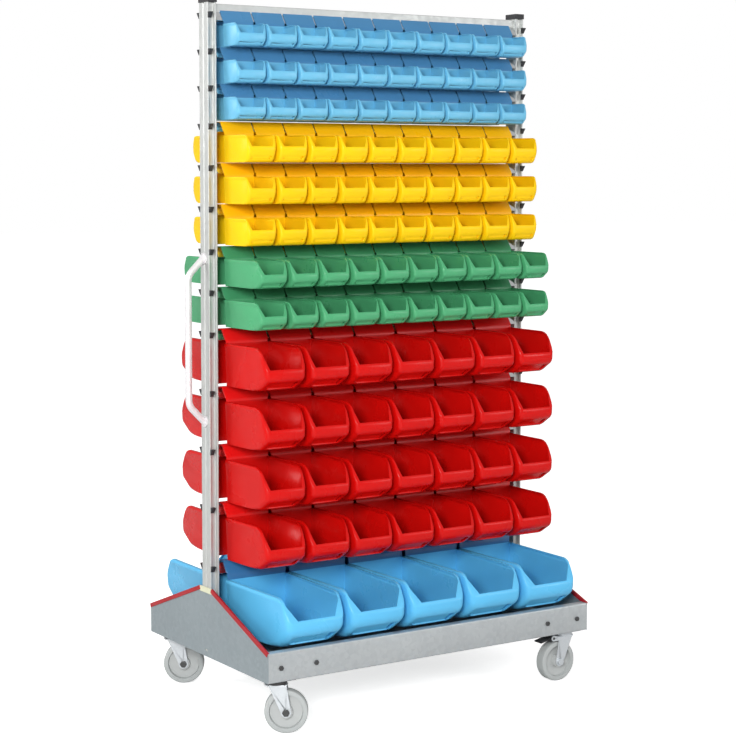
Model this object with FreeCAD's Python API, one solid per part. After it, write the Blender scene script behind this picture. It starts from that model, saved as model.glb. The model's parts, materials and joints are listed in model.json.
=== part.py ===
import FreeCAD, Part
import math
import os

# Mobile double-sided rack of open-front storage bins.
# Lengths are in millimetres. X runs along the rack, the front looks towards -Y and Z
# points up. Pieces are made about the middle of the base, on the floor, and written with
# the origin under the middle of the overall box, which the handle makes longer at one end.

V = FreeCAD.Vector
ORIGIN = V(0, 0, 0)
AXIS_X = V(1, 0, 0)
AXIS_Y = V(0, 1, 0)
AXIS_Z = V(0, 0, 1)

# Bay for the bins between the posts, which sets the length of the base
bay_length = 1056.0
bay_end_room = 48.0

# Sheet-metal base
base_front_room = 49.6
base_sheet = 2.0
skirt_bottom = 157.0
skirt_height = 86.0
skirt_flange = 24.0
gable_rise = 120.0
gable_flat = 70.0
gable_slot_width = 16.0
gable_slot_height = 8.0
gable_slot_lift = 19.0
trim_wall = 2.5
trim_cover = 10.0
gable_cap_height = 14.0
gable_cap_wall = 2.0
crossmember_width = 64.0
crossmember_height = 34.0
crossmember_sheet = 2.5
cut_margin = 1.0

# Hexagon bolts through the skirts
bolt_across = 13.0
bolt_head = 5.0
bolt_shank = 8.0
bolt_grip = 10.0
bolt_lift = 41.0
bolt_inset_outer = 42.0
bolt_inset_inner = 158.0
bolt_hole_room = 0.2

# Uprights, their caps and shoes, and the bar that ties their tops
upright_width = 52.0
upright_thickness = 30.0
upright_wall = 2.0
upright_head = 24.5
upright_groove_width = 6.0
upright_groove_depth = 4.0
upright_channel_width = 18.0
upright_channel_depth = 10.0
cap_height = 16.0
cap_overhang = 2.0
cap_plug = 16.0
cap_plug_room = 0.2
shoe_sheet = 3.0
shoe_height = 70.0
top_bar_height = 36.0
top_bar_depth = 24.0
top_bar_wall = 2.0
top_bar_drop = 3.0

# Hanging rails, one folded strip for each row of bins
rail_sheet = 2.0
rail_reach = 20.0
rail_height = 28.0
rail_flange = 24.0
rail_plug_length = 12.0

# Push handle on the left upright
handle_diameter = 20.0
handle_reach = 54.0
handle_grip_length = 380.0
handle_lift = 854.0
handle_leg_angle = 45.0
handle_bend = 40.0
handle_flange_diameter = 34.0
handle_flange_thickness = 5.0

# Swivel casters
caster_inset_x = 57.0
caster_inset_y = 52.0
caster_trail = 28.0
caster_plate_length = 92.0
caster_plate_width = 72.0
caster_plate_thickness = 5.0
race_diameter = 60.0
race_height = 11.0
swivel_gap = 0.4
king_pin = 14.0
king_nut = 24.0
king_nut_height = 8.0
running_clearance = 0.06
yoke_diameter = 68.0
yoke_sheet = 4.0
fork_sheet = 3.0
fork_top_back = 22.0
fork_top_front = 30.0
fork_eye = 15.0
wheel_diameter = 125.0
wheel_width = 36.0
wheel_tread_chamfer = 5.0
wheel_rim = 15.0
wheel_web = 14.0
wheel_hub = 38.0
wheel_hub_width = 41.0
wheel_side_gap = 1.5
axle_diameter = 12.0
axle_nut = 19.0
axle_nut_height = 7.0
axle_room = 0.05
front_left_heading = -32.7
rear_left_heading = -32.7
front_right_heading = 180.0
rear_right_heading = 150.0

# Brake pedals on the casters of the right end
pedal_pin = 8.0
pedal_barrel = 14.0
pedal_pivot_ahead = 24.0
pedal_pivot_lift = 13.0
pedal_length = 46.0
pedal_width = 34.0
pedal_thickness = 4.0
pedal_slope = 12.0
pedal_ear = 9.0
pedal_toe = 8.0
pedal_side_gap = 0.5

# Bins: as many as fit side by side share the bay of a row in equal parts
bin_gap = 1.2
hook_room = 0.4
hook_seat = 0.2
hook_cap = 2.4
hook_depth = 5.5
bin_side_draft = 2.4
bin_front_draft = 1.0
kind_step = 3.5

# Kind of bin on every rail, from the top down
ROW_KINDS = ("small_blue", "small_blue", "small_blue", "yellow", "yellow", "yellow",
             "green", "green", "red", "red", "red", "red", "large_blue")

# Each kind: least width, height of its rail above the rail or skirt below, depth, rim height,
# rim front, lip top, lip bottom, base depth, height of the rail above the rim, wall
BIN_FIELDS = ("least_width", "pitch", "depth", "rim", "rim_front", "lip_top", "lip_bottom",
              "base", "rise", "wall")
BIN_SIZES = {
    "small_blue": (105.0, 105.8, 89.0, 60.0, 79.0, 28.0, 12.0, 70.0, 37.0, 2.2),
    "yellow": (105.0, 120.2, 148.0, 68.0, 136.0, 34.0, 20.0, 132.0, 37.0, 2.2),
    "green": (105.0, 119.5, 218.0, 80.0, 190.0, 36.0, 21.0, 183.0, 32.5, 2.4),
    "red": (150.0, 171.7, 243.0, 126.0, 184.0, 61.0, 31.0, 185.0, 37.5, 2.8),
    "large_blue": (210.0, 192.0, 365.0, 148.0, 311.0, 92.0, 58.0, 289.0, 48.0, 3.4),
}
BINS = {kind: dict(zip(BIN_FIELDS, sizes)) for kind, sizes in BIN_SIZES.items()}

# Derived places
half_upright = upright_width / 2
bin_back = half_upright + hook_room
half_length = bay_length / 2 + bay_end_room
half_depth = bin_back + BINS[ROW_KINDS[-1]]["base"] + base_front_room
inner_end = half_length - base_sheet
inner_side = half_depth - base_sheet
skirt_top = skirt_bottom + skirt_height
gable_peak = skirt_top + gable_rise
handle_middle = skirt_top + handle_lift
deck_bottom = skirt_bottom + base_sheet
deck_top = deck_bottom + base_sheet
upright_inner = inner_end - upright_thickness
rail_edge = half_upright + rail_reach
rail_slant = rail_reach / rail_height
level_stretch = math.hypot(rail_reach, rail_height) / rail_height
rail_thickness_level = rail_sheet * level_stretch
rail_fold_lift = (rail_sheet + rail_thickness_level) / rail_slant
wheel_radius = wheel_diameter / 2
fork_inner = wheel_hub_width / 2 + wheel_side_gap
fork_outer = fork_inner + fork_sheet
race_bottom = skirt_bottom - caster_plate_thickness - race_height
yoke_top = race_bottom - swivel_gap
yoke_bottom = yoke_top - yoke_sheet
left_reach = inner_end + handle_reach + handle_diameter / 2
right_reach = half_length + trim_wall
box_shift = (left_reach - right_reach) / 2


def block(x0, x1, y0, y1, z0, z1):
    """Box between two corners."""
    return Part.makeBox(x1 - x0, y1 - y0, z1 - z0, V(x0, y0, z0))


def polygon_face(points):
    """Flat face through a closed run of corner points."""
    return Part.Face(Part.makePolygon(points + points[:1]))


def prism_x(outline, x0, x1):
    """Solid swept along X from an outline of (y, z) corners."""
    return polygon_face([V(x0, y, z) for y, z in outline]).extrude(V(x1 - x0, 0, 0))


def prism_y(outline, y0, y1):
    """Solid swept along Y from an outline of (x, z) corners."""
    return polygon_face([V(x, y0, z) for x, z in outline]).extrude(V(0, y1 - y0, 0))


def prism_z(outline, z0, z1):
    """Solid swept along Z from an outline of (x, y) corners."""
    return polygon_face([V(x, y, z0) for x, y in outline]).extrude(V(0, 0, z1 - z0))


def cylinder(radius, start, end):
    """Round bar between two points."""
    return Part.makeCylinder(radius, (end - start).Length, start, end - start)


def hexagon_bar(across, start, end):
    """Six-sided bar between two points, given its width across flats."""
    turn = math.radians(60)
    circle = Part.Circle(ORIGIN, AXIS_Z, across / 2 / math.cos(turn / 2))
    corners = [circle.value(turn * i) for i in range(6)]
    bar = polygon_face(corners).extrude(V(0, 0, (end - start).Length))
    bar.Placement = FreeCAD.Placement(start, FreeCAD.Rotation(AXIS_Z, end - start))
    return bar


def across_x(shape):
    """Copy on the other end of the rack."""
    return shape.mirror(ORIGIN, AXIS_X)


def across_y(shape):
    """Copy on the other side of the rack."""
    return shape.mirror(ORIGIN, AXIS_Y)


def trimmed(shape, point, normal, reach):
    """Shape without all that lies beyond a plane."""
    beyond = Part.makeBox(2 * reach, 2 * reach, reach, V(-reach, -reach, 0))
    beyond.Placement = FreeCAD.Placement(point, FreeCAD.Rotation(AXIS_Z, normal))
    return shape.cut(beyond)


def write(name, shapes):
    """Writes one node, a single solid or a group of separate solids."""
    solids = [solid for shape in shapes for solid in shape.Solids]
    node = solids[0] if len(solids) == 1 else Part.makeCompound(solids)
    node.translate(AXIS_X * box_shift)
    node.exportStep("parts/" + name + ".step")


def bolt_places():
    """Height and X of each bolt along a skirt."""
    height = skirt_bottom + bolt_lift
    for inset in (bolt_inset_outer, bolt_inset_inner):
        for side in (-1, 1):
            yield side * (half_length - inset), height


def make_front_skirt():
    """Long folded panel with a flange along its top and bottom."""
    outline = [
        (-half_depth, skirt_bottom),
        (-half_depth, skirt_top),
        (-half_depth + skirt_flange, skirt_top),
        (-half_depth + skirt_flange, skirt_top - base_sheet),
        (-inner_side, skirt_top - base_sheet),
        (-inner_side, deck_bottom),
        (-half_depth + skirt_flange, deck_bottom),
        (-half_depth + skirt_flange, skirt_bottom),
    ]
    skirt = prism_x(outline, -inner_end, inner_end)
    hole = bolt_shank / 2 + bolt_hole_room
    for x, z in bolt_places():
        skirt = skirt.cut(cylinder(hole, V(x, -half_depth - cut_margin, z),
                                  V(x, -inner_side + cut_margin, z)))
    return skirt


def make_front_bolts():
    """Hexagon bolts that hold the front skirt."""
    bolts = []
    for x, z in bolt_places():
        head = hexagon_bar(bolt_across, V(x, -half_depth - bolt_head, z), V(x, -half_depth, z))
        shank = cylinder(bolt_shank / 2, V(x, -half_depth, z), V(x, -half_depth + bolt_grip, z))
        bolts.append(head.fuse(shank))
    return bolts


def gable_outline():
    """House-shaped outline of an end panel as (y, z) corners."""
    return [
        (-half_depth, skirt_bottom),
        (half_depth, skirt_bottom),
        (half_depth, skirt_top),
        (gable_flat / 2, gable_peak),
        (-gable_flat / 2, gable_peak),
        (-half_depth, skirt_top),
    ]


def make_left_gable():
    """End panel with a stiffening flange along its foot and a slot above it."""
    panel = prism_x(gable_outline(), -half_length, -inner_end)
    reach = half_depth - skirt_flange
    panel = panel.fuse(block(-inner_end, -inner_end + skirt_flange, -reach, reach,
                             skirt_bottom, deck_bottom))
    slot_z = skirt_bottom + gable_slot_lift
    slot = block(-half_length - cut_margin, -inner_end + cut_margin,
                 -gable_slot_width / 2, gable_slot_width / 2,
                 slot_z - gable_slot_height / 2, slot_z + gable_slot_height / 2)
    return panel.cut(slot).removeSplitter()


def make_left_trims(gable):
    """Push-on edge strips along the two slopes of the left end panel."""
    run = half_depth - gable_flat / 2
    fall = gable_peak - skirt_top
    length = math.hypot(run, fall)
    normal_y, normal_z = fall / length, run / length
    start_y, start_z = gable_flat / 2, gable_peak
    outline = [
        (start_y + normal_y * trim_wall, start_z + normal_z * trim_wall),
        (half_depth + normal_y * trim_wall, skirt_top + normal_z * trim_wall),
        (half_depth - normal_y * trim_cover, skirt_top - normal_z * trim_cover),
        (start_y - normal_y * trim_cover, start_z - normal_z * trim_cover),
    ]
    strip = prism_x(outline, -half_length - trim_wall, -inner_end + trim_wall)
    upright_room = block(-inner_end, -upright_inner, -half_upright, half_upright,
                         deck_top, upright_top)
    skirt_room = block(-inner_end, -inner_end + trim_wall, -half_depth, half_depth,
                       skirt_bottom, skirt_top)
    strip = strip.cut(gable).cut(upright_room).cut(skirt_room)
    return [strip, across_y(strip)]


def make_left_gable_cap(gable, trims):
    """Plastic clip over the flat top of the left end panel, between the strips."""
    clip = block(-half_length - gable_cap_wall, -inner_end, -gable_flat / 2, gable_flat / 2,
                 gable_peak - gable_cap_height, gable_peak + gable_cap_wall)
    for piece in [gable] + trims:
        clip = clip.cut(piece)
    return clip


def make_deck():
    """Flat floor of the base, laid on the flanges of the panels."""
    return block(-inner_end, inner_end, -inner_side, inner_side, deck_bottom, deck_top)


def make_left_crossmember():
    """Channel across the deck above the two left casters."""
    middle = -half_length + caster_inset_x + crossmember_width / 2
    x0 = middle - crossmember_width / 2
    x1 = middle + crossmember_width / 2
    outer = block(x0, x1, -inner_side, inner_side, deck_top, deck_top + crossmember_height)
    hollow = block(x0 + crossmember_sheet, x1 - crossmember_sheet, -inner_side, inner_side,
                   deck_top, deck_top + crossmember_height - crossmember_sheet)
    return outer.cut(hollow)


def upright_section(inset):
    """Outline of the left post as (x, y) corners, taken in by a wall where it is the hollow."""
    x0 = -inner_end + inset
    x1 = -upright_inner - inset
    half = half_upright - inset
    lip = (upright_thickness - upright_channel_width) / 2 - 2 * inset
    floor = half_upright - upright_channel_depth - inset
    groove = upright_groove_width / 2 + inset
    depth = -inner_end + upright_groove_depth + inset
    front = [(x0, -half), (x0 + lip, -half), (x0 + lip, -floor), (x1 - lip, -floor), (x1 - lip, -half),
             (x1, -half)]
    rear = [(x, -y) for x, y in reversed(front)]
    return front + rear + [(x0, groove), (depth, groove), (depth, -groove), (x0, -groove)]


def make_left_upright():
    """Rolled post with a channel down its front and rear and a groove down its outer face."""
    outer = prism_z(upright_section(0), deck_top, upright_top)
    return outer.cut(prism_z(upright_section(upright_wall), deck_top, upright_top))


def make_left_cap():
    """Plastic cap on the open top of the left post."""
    head = block(-inner_end - cap_overhang, -upright_inner + cap_overhang,
                 -half_upright - cap_overhang, half_upright + cap_overhang,
                 upright_top, upright_top + cap_height)
    room = upright_wall + cap_plug_room
    groove = upright_groove_depth + room
    reach = half_upright - upright_channel_depth - room
    plug = block(-inner_end + groove, -upright_inner - room, -reach, reach,
                 upright_top - cap_plug, upright_top)
    return head.fuse(plug)


def make_left_shoe():
    """Folded shoe that holds the foot of the left post on the deck."""
    reach = half_upright + shoe_sheet
    outer = block(-inner_end, -upright_inner + shoe_sheet, -reach, reach,
                  deck_top, deck_top + shoe_height)
    room = block(-inner_end, -upright_inner, -half_upright, half_upright,
                 deck_top, deck_top + shoe_height)
    return outer.cut(room)


def make_top_bar():
    """Square tube between the tops of the posts."""
    z1 = upright_top - top_bar_drop
    z0 = z1 - top_bar_height
    half = top_bar_depth / 2
    wall = top_bar_wall
    outer = block(-upright_inner, upright_inner, -half, half, z0, z1)
    bore = block(-upright_inner, upright_inner, -half + wall, half - wall, z0 + wall, z1 - wall)
    return outer.cut(bore)


def make_front_rail(top):
    """Strip folded to a V that leans out from the posts, open at the top."""
    foot = top - rail_height
    fold = foot + rail_fold_lift
    outline = [
        (-half_upright, foot),
        (-rail_edge, top),
        (-rail_edge + rail_thickness_level, top),
        (-half_upright - rail_sheet, fold),
        (-half_upright - rail_sheet, foot + rail_flange),
        (-half_upright, foot + rail_flange),
    ]
    return prism_x(outline, -inner_end, inner_end)


def make_front_plugs(top):
    """Three-sided plugs in the two open ends of a rail."""
    fold = top - rail_height + rail_fold_lift
    brim = top - rail_height + rail_flange
    back = -half_upright - rail_sheet
    outline = [(back, fold), (back, brim), (back - (brim - fold) * rail_slant, brim)]
    plug = prism_x(outline, -inner_end, -inner_end + rail_plug_length)
    return [plug, across_x(plug)]


def handle_lean():
    """Height that a slanted handle leg takes up."""
    return handle_reach / math.tan(math.radians(handle_leg_angle))


def make_handle():
    """Bent tube on the outer face of the left post: a grip, two bends and two slanted legs."""
    radius = handle_diameter / 2
    grip_x = -inner_end - handle_reach
    angle = math.radians(handle_leg_angle)
    tangent = handle_bend * math.tan(angle / 2)
    grip_top = V(grip_x, 0, handle_middle + handle_grip_length / 2 - tangent)
    grip = cylinder(radius, V(grip_x, 0, handle_middle), grip_top)
    ring = Part.Face(Part.Wire([Part.Circle(grip_top, AXIS_Z, radius).toShape()]))
    pivot = grip_top + AXIS_X * handle_bend
    bend = ring.revolve(pivot, AXIS_Y, handle_leg_angle)
    along = V(math.sin(angle), 0, math.cos(angle))
    leg_start = pivot + V(-math.cos(angle), 0, math.sin(angle)) * handle_bend
    leg = cylinder(radius, leg_start, leg_start + along * (2 * handle_reach))
    foot = V(-inner_end - handle_flange_thickness, 0, handle_middle)
    leg = trimmed(leg, foot, AXIS_X, handle_grip_length)
    half = grip.fuse([bend, leg])
    other = half.mirror(V(0, 0, handle_middle), AXIS_Z)
    return half.fuse(other).removeSplitter()


def make_handle_flanges():
    """Round feet of the handle on the post."""
    offset = handle_grip_length / 2 + handle_lean() - handle_flange_thickness
    flanges = []
    for side in (-1, 1):
        z = handle_middle + side * offset
        flanges.append(cylinder(handle_flange_diameter / 2, V(-inner_end, 0, z),
                                V(-inner_end - handle_flange_thickness, 0, z)))
    return flanges


def make_caster_plate():
    """Top plate with the upper ball race and the king pin."""
    half_x = caster_plate_length / 2
    half_y = caster_plate_width / 2
    plate_bottom = skirt_bottom - caster_plate_thickness
    plate = block(-half_x, half_x, -half_y, half_y, plate_bottom, skirt_bottom)
    race = cylinder(race_diameter / 2, V(0, 0, race_bottom), V(0, 0, plate_bottom))
    nut_top = yoke_bottom - swivel_gap
    pin = cylinder(king_pin / 2, V(0, 0, nut_top), V(0, 0, race_bottom))
    nut = hexagon_bar(king_nut, V(0, 0, nut_top - king_nut_height), V(0, 0, nut_top))
    return plate.fuse([race, pin, nut]).removeSplitter()


def pedal_pivot():
    """Place of the brake pedal's pin, as distance ahead and height."""
    return caster_trail + pedal_pivot_ahead, wheel_diameter + pedal_pivot_lift


def make_caster_fork(braked):
    """Pressed yoke and two tapering legs, with ears for a pedal where it has one."""
    outline = [
        (-fork_top_back, yoke_top),
        (fork_top_front, yoke_top),
        (caster_trail + fork_eye, wheel_radius),
        (caster_trail - fork_eye, wheel_radius),
    ]
    hub = V(caster_trail, 0, wheel_radius)
    leg = prism_y(outline, fork_inner, fork_outer)
    leg = leg.fuse(cylinder(fork_eye, hub + AXIS_Y * fork_inner, hub + AXIS_Y * fork_outer))
    beyond = AXIS_Y * (fork_outer + cut_margin)
    holes = [cylinder(axle_diameter / 2 + axle_room, hub, hub + beyond)]
    if braked:
        pivot_x, pivot_z = pedal_pivot()
        pivot = V(pivot_x, 0, pivot_z)
        ear = [(0, yoke_top), (fork_top_front, yoke_top), (pivot_x, pivot_z + pedal_ear),
               (pivot_x, pivot_z - pedal_ear), (0, pivot_z - pedal_ear)]
        leg = leg.fuse(prism_y(ear, fork_inner, fork_outer))
        leg = leg.fuse(cylinder(pedal_ear, pivot + AXIS_Y * fork_inner, pivot + AXIS_Y * fork_outer))
        pin_hole = pedal_pin / 2 + running_clearance
        holes.append(cylinder(pin_hole, pivot, pivot + beyond))
    for hole in holes:
        leg = leg.cut(hole)
    yoke = cylinder(yoke_diameter / 2, V(0, 0, yoke_bottom), V(0, 0, yoke_top))
    flat = block(-yoke_diameter, yoke_diameter, -fork_outer, fork_outer, yoke_bottom, yoke_top)
    yoke = yoke.common(flat)
    bore = cylinder(king_pin / 2 + running_clearance, V(0, 0, yoke_bottom - cut_margin),
                    V(0, 0, yoke_top + cut_margin))
    return yoke.cut(bore).fuse([leg, across_y(leg)]).removeSplitter()


def make_caster_axle():
    """Axle bolt with a hexagon at each end."""
    hub = V(caster_trail, 0, wheel_radius)
    tip = AXIS_Y * fork_outer
    end = AXIS_Y * (fork_outer + axle_nut_height)
    bar = cylinder(axle_diameter / 2, hub - tip, hub + tip)
    nuts = [hexagon_bar(axle_nut, hub + tip, hub + end), hexagon_bar(axle_nut, hub - end, hub - tip)]
    return bar.fuse(nuts).removeSplitter()


def make_caster_wheel():
    """Moulded wheel with a hub, a recessed web and a chamfered tread."""
    bore = axle_diameter / 2 + running_clearance
    hub = wheel_hub / 2
    rim = wheel_radius - wheel_rim
    half_hub = wheel_hub_width / 2
    half_web = wheel_web / 2
    half_tread = wheel_width / 2
    chamfer = wheel_tread_chamfer
    upper = [(bore, half_hub), (hub, half_hub), (hub, half_web), (rim, half_web),
             (rim, half_tread), (wheel_radius - chamfer, half_tread),
             (wheel_radius, half_tread - chamfer)]
    lower = [(radius, -offset) for radius, offset in reversed(upper)]
    section = polygon_face([V(radius, offset, 0) for radius, offset in upper + lower])
    wheel = section.revolve(ORIGIN, AXIS_Y, 360)
    wheel.translate(V(caster_trail, 0, wheel_radius))
    return wheel


def make_brake_pedal():
    """Foot pedal on its pin, with a toe that swings down towards the tread."""
    pivot_x, pivot_z = pedal_pivot()
    pivot = V(pivot_x, 0, pivot_z)
    half = fork_inner - pedal_side_gap
    barrel = cylinder(pedal_barrel / 2, pivot - AXIS_Y * half, pivot + AXIS_Y * half)
    pin = cylinder(pedal_pin / 2, pivot - AXIS_Y * fork_outer, pivot + AXIS_Y * fork_outer)
    thick = pedal_thickness / 2
    tread = block(pivot_x, pivot_x + pedal_length, -pedal_width / 2, pedal_width / 2,
                  pivot_z - thick, pivot_z + thick)
    toe = block(pivot_x + thick, pivot_x + thick + pedal_toe, -pedal_width / 2, pedal_width / 2,
                pivot_z - thick - pedal_toe, pivot_z)
    pedal = barrel.fuse([pin, tread, toe]).removeSplitter()
    pedal.rotate(pivot, AXIS_Y, pedal_slope)
    return pedal


def caster_places():
    """Name, swivel axis, rest heading and brake of every caster."""
    x = half_length - caster_inset_x
    y = half_depth - caster_inset_y
    yield "front_left", V(-x, -y, 0), front_left_heading, False
    yield "front_right", V(x, -y, 0), front_right_heading, True
    yield "rear_left", V(-x, y, 0), rear_left_heading, False
    yield "rear_right", V(x, y, 0), rear_right_heading, True


def at_caster(shape, place, heading):
    """Copy of a caster piece turned to its heading under its swivel axis."""
    copy = shape.copy()
    copy.rotate(ORIGIN, AXIS_Z, heading)
    copy.translate(place)
    return copy


def stack_rows():
    """Kind of bin and height of the rail for every row, stacked from the skirts up."""
    rows = []
    top = skirt_top
    below = ROW_KINDS[-1]
    for kind in reversed(ROW_KINDS):
        top += BINS[kind]["pitch"] + (kind_step if kind != below else 0)
        rows.append((kind, top))
        below = kind
    return rows[::-1]


def bin_row(kind):
    """X of every bin in a row."""
    count = int(bay_length // BINS[kind]["least_width"])
    pitch = bay_length / count
    return [-bay_length / 2 + pitch * (i + 0.5) for i in range(count)]


def drafted(shape, size, half_width, top):
    """Shape with sides that lean in from its top rear edge towards the floor and the front."""
    down = math.tan(math.radians(bin_side_draft))
    ahead = math.tan(math.radians(bin_front_draft))
    reach = 2 * (size["depth"] + top)
    for side in (-1, 1):
        point = V(side * half_width, 0, top)
        normal = V(side, -ahead, -down)
        shape = trimmed(shape, point, normal, reach)
    return shape


def make_bin(kind):
    """Open-front bin facing -Y: its rear wall stands on y = 0, leans out with the slope of a
    rail and hooks over the rail's edge."""
    size = BINS[kind]
    wall = size["wall"]
    rim = size["rim"]
    seat = rim + size["rise"] + hook_seat
    top = seat + hook_cap
    foot = rim + size["rise"] - rail_height
    lean_wall = wall * level_stretch
    inside = -rail_reach + rail_thickness_level + 2 * hook_room
    half = (bay_length / len(bin_row(kind)) - bin_gap) / 2
    outline = [
        (0, 0),
        (-size["base"], 0),
        (-size["depth"], size["lip_bottom"]),
        (-size["depth"], size["lip_top"]),
        (-size["rim_front"], rim),
        (-wall, rim),
        (-wall, foot - (lean_wall - wall) / rail_slant),
        (-lean_wall - (top - foot) * rail_slant, top),
        (inside + hook_cap, top),
        (inside + hook_depth * rail_slant, seat - hook_depth),
        (inside, seat),
        (-(seat - foot) * rail_slant, seat),
        (0, foot),
    ]
    floor_front = size["base"] - wall
    hollow = [
        (-wall, wall),
        (-floor_front, wall),
        (-size["depth"] + wall, size["lip_bottom"]),
        (-size["depth"] + wall, rim),
        (-wall, rim),
    ]
    shell = drafted(prism_x(outline, -2 * half, 2 * half), size, half, top)
    room = drafted(prism_x(hollow, -2 * half, 2 * half), size, half - wall, top)
    return shell.cut(room).removeSplitter()


def bin_floor(kind, top):
    """Height of the underside of a bin that hangs on a rail."""
    return top - BINS[kind]["rim"] - BINS[kind]["rise"]


rack_rows = stack_rows()
upright_top = rack_rows[0][1] + upright_head

os.makedirs("parts", exist_ok=True)

front_skirt = make_front_skirt()
write("front_skirt", [front_skirt])
write("rear_skirt", [across_y(front_skirt)])
front_bolts = make_front_bolts()
write("skirt_bolts", front_bolts + [across_y(bolt) for bolt in front_bolts])

left_gable = make_left_gable()
write("left_end_panel", [left_gable])
write("right_end_panel", [across_x(left_gable)])
left_trims = make_left_trims(left_gable)
write("left_edge_trims", left_trims)
write("right_edge_trims", [across_x(trim) for trim in left_trims])
left_gable_cap = make_left_gable_cap(left_gable, left_trims)
write("gable_clips", [left_gable_cap, across_x(left_gable_cap)])

write("deck", [make_deck()])
left_crossmember = make_left_crossmember()
write("left_crossmember", [left_crossmember])
write("right_crossmember", [across_x(left_crossmember)])

left_upright = make_left_upright()
write("left_upright", [left_upright])
write("right_upright", [across_x(left_upright)])
left_cap = make_left_cap()
write("upright_caps", [left_cap, across_x(left_cap)])
left_shoe = make_left_shoe()
write("upright_shoes", [left_shoe, across_x(left_shoe)])
write("top_bar", [make_top_bar()])

front_rails = [make_front_rail(top) for _, top in rack_rows]
write("front_rails", front_rails)
write("rear_rails", [across_y(rail) for rail in front_rails])
front_plugs = [plug for _, top in rack_rows for plug in make_front_plugs(top)]
write("rail_plugs", front_plugs + [across_y(plug) for plug in front_plugs])

write("push_handle", [make_handle()])
write("handle_flanges", make_handle_flanges())

caster_plate = make_caster_plate()
caster_axle = make_caster_axle()
caster_wheel = make_caster_wheel()
brake_pedal = make_brake_pedal()
for name, place, heading, braked in caster_places():
    write(name + "_caster_plate", [at_caster(caster_plate, place, 0)])
    write(name + "_fork", [at_caster(make_caster_fork(braked), place, heading)])
    write(name + "_axle", [at_caster(caster_axle, place, heading)])
    write(name + "_wheel", [at_caster(caster_wheel, place, heading)])
    if braked:
        write(name + "_pedal", [at_caster(brake_pedal, place, heading)])

groups = {}
for kind, top in rack_rows:
    shape = make_bin(kind)
    for index, x in enumerate(bin_row(kind)):
        front = shape.copy()
        front.translate(V(x, -bin_back, bin_floor(kind, top)))
        loose = index == 0 and "loose_" + kind + "_bin" not in groups
        name = "loose_" + kind + "_bin" if loose else "front_" + kind + "_bins"
        groups.setdefault(name, []).append(front)
        groups.setdefault("rear_" + kind + "_bins", []).append(across_y(front))
for name, bins in groups.items():
    write(name, bins)
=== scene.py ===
# %% [markdown]
# A mobile rack for small parts: coloured open-front bins hang in rows on both sides of two steel posts.
# The imported construction model is loaded first. It is the fixed frame: every piece made here takes its place
# from it, in metres, and rides on one of its bodies.

# %% Load the construction frame
import bpy
import bmesh
import json
import math
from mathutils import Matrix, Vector


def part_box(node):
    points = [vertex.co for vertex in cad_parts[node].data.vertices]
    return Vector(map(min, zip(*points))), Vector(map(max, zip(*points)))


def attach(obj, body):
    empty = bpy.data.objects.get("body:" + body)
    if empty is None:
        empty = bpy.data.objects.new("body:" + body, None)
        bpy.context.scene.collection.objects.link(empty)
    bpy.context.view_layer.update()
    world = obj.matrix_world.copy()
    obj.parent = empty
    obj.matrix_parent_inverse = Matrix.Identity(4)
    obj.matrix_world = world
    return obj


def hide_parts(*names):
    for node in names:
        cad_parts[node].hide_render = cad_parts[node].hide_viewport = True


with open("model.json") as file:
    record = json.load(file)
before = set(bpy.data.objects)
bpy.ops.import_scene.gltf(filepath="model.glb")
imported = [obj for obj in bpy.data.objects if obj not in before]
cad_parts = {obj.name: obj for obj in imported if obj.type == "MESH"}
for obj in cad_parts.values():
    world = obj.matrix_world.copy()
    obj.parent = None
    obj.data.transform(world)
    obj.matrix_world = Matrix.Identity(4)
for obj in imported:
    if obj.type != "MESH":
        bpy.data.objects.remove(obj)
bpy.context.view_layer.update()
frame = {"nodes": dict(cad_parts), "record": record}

# %% [markdown]
# The camera stands at the front left, a little above the middle of the rack. A long lens keeps the posts
# almost parallel. A vertical shift of the lens takes the place of part of the tilt, as in a view camera, so
# the posts stay upright.

# %% Camera
scene = bpy.context.scene
camera_data = bpy.data.cameras.new("rack_camera")
camera_data.sensor_width = 36.0
camera_data.lens = 91.19
camera_data.shift_y = -0.09
camera = bpy.data.objects.new("rack_camera", camera_data)
scene.collection.objects.link(camera)
camera.location = (-3.1091, -4.815, 1.5857)
camera.rotation_euler = (math.radians(90 - 3.96), 0, math.radians(-33.06))
scene.camera = camera
print("camera at", tuple(camera.location))

# %% [markdown]
# Operators act on whatever is selected, so each step starts from an empty selection. These small helpers
# do what a hand does in edit mode: pick faces, edges or corners by where they lie, then use a tool on them.

# %% Hands
def deselect_all():
    bpy.ops.object.select_all(action="DESELECT")


def only(piece):
    deselect_all()
    piece.select_set(True)
    bpy.context.view_layer.objects.active = piece


def edit(piece):
    only(piece)
    bpy.ops.object.mode_set(mode="EDIT")
    bpy.ops.mesh.select_all(action="SELECT")


def leave():
    bpy.ops.object.mode_set(mode="OBJECT")


def pick(kind, test):
    bpy.ops.mesh.select_all(action="DESELECT")
    bpy.ops.mesh.select_mode(type={"verts": "VERT", "edges": "EDGE", "faces": "FACE"}[kind])
    mesh = bpy.context.edit_object.data
    form = bmesh.from_edit_mesh(mesh)
    for element in [element for element in getattr(form, kind) if test(element)]:
        element.select_set(True)
    form.select_flush_mode()
    bmesh.update_edit_mesh(mesh)


def settle(piece):
    only(piece)
    bpy.ops.object.transform_apply(location=True, rotation=True, scale=True)


def use_modifier(piece, kind, **settings):
    only(piece)
    modifier = piece.modifiers.new(kind.lower(), kind)
    for key, value in settings.items():
        setattr(modifier, key, value)
    bpy.ops.object.modifier_apply(modifier=modifier.name)


print("hands ready")

# %% [markdown]
# The stage is a wide pale floor. A plain white floor would light the bins strongly from below, so this one
# looks white to the camera but throws back less light than it shows. Undersides and hollows then keep their
# shade. A Light Path node tells the two kinds of ray apart.

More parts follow.
